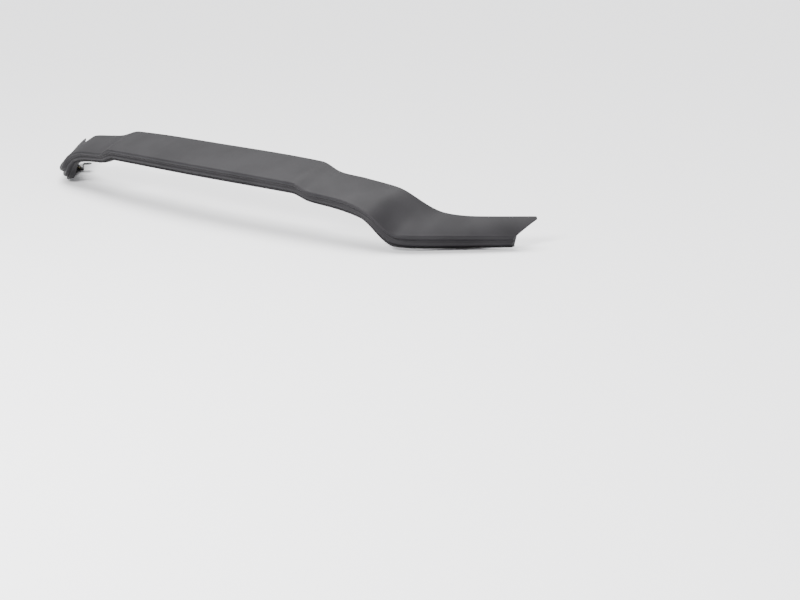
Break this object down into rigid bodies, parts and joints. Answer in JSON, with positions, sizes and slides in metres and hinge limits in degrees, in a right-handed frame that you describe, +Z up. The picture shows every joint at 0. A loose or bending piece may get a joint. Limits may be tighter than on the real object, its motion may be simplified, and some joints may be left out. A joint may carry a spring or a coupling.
{
  "type": "hood bug deflector",
  "caption": "Low wrap-over shield for a vehicle hood's front edge, with a crowned face, a turned-down lip, stepped and swept-back ends, and brackets and pads behind it.",
  "frame": {"origin": "midway between the open holes of the two inner brackets, on the underside of their upper legs", "axes": "+X across the hood, to the right seen from in front; +Y to the rear; +Z up. The front of the shield faces -Y"},
  "size_m": [1.7224, 0.336, 0.1809],
  "materials": {
    "shield": "satin black moulded acrylic",
    "bracket": "black electro-coated steel",
    "screw": "zinc plated",
    "washer": "natural nylon",
    "nut": "zinc plated",
    "pad": "closed-cell EPDM foam"
  },
  "bodies": {
    "root": {"shield": "shield", "bracket_1": "bracket", "bracket_2": "bracket", "bracket_3": "bracket", "bracket_4": "bracket", "bracket_5": "bracket", "bracket_6": "bracket", "screws": "screw", "washers": "washer", "nuts": "nut", "pad_1": "pad", "pad_2": "pad", "pad_3": "pad", "pad_4": "pad", "pad_5": "pad", "pad_6": "pad", "pad_7": "pad", "pad_8": "pad"}
  },
  "joints": []
}
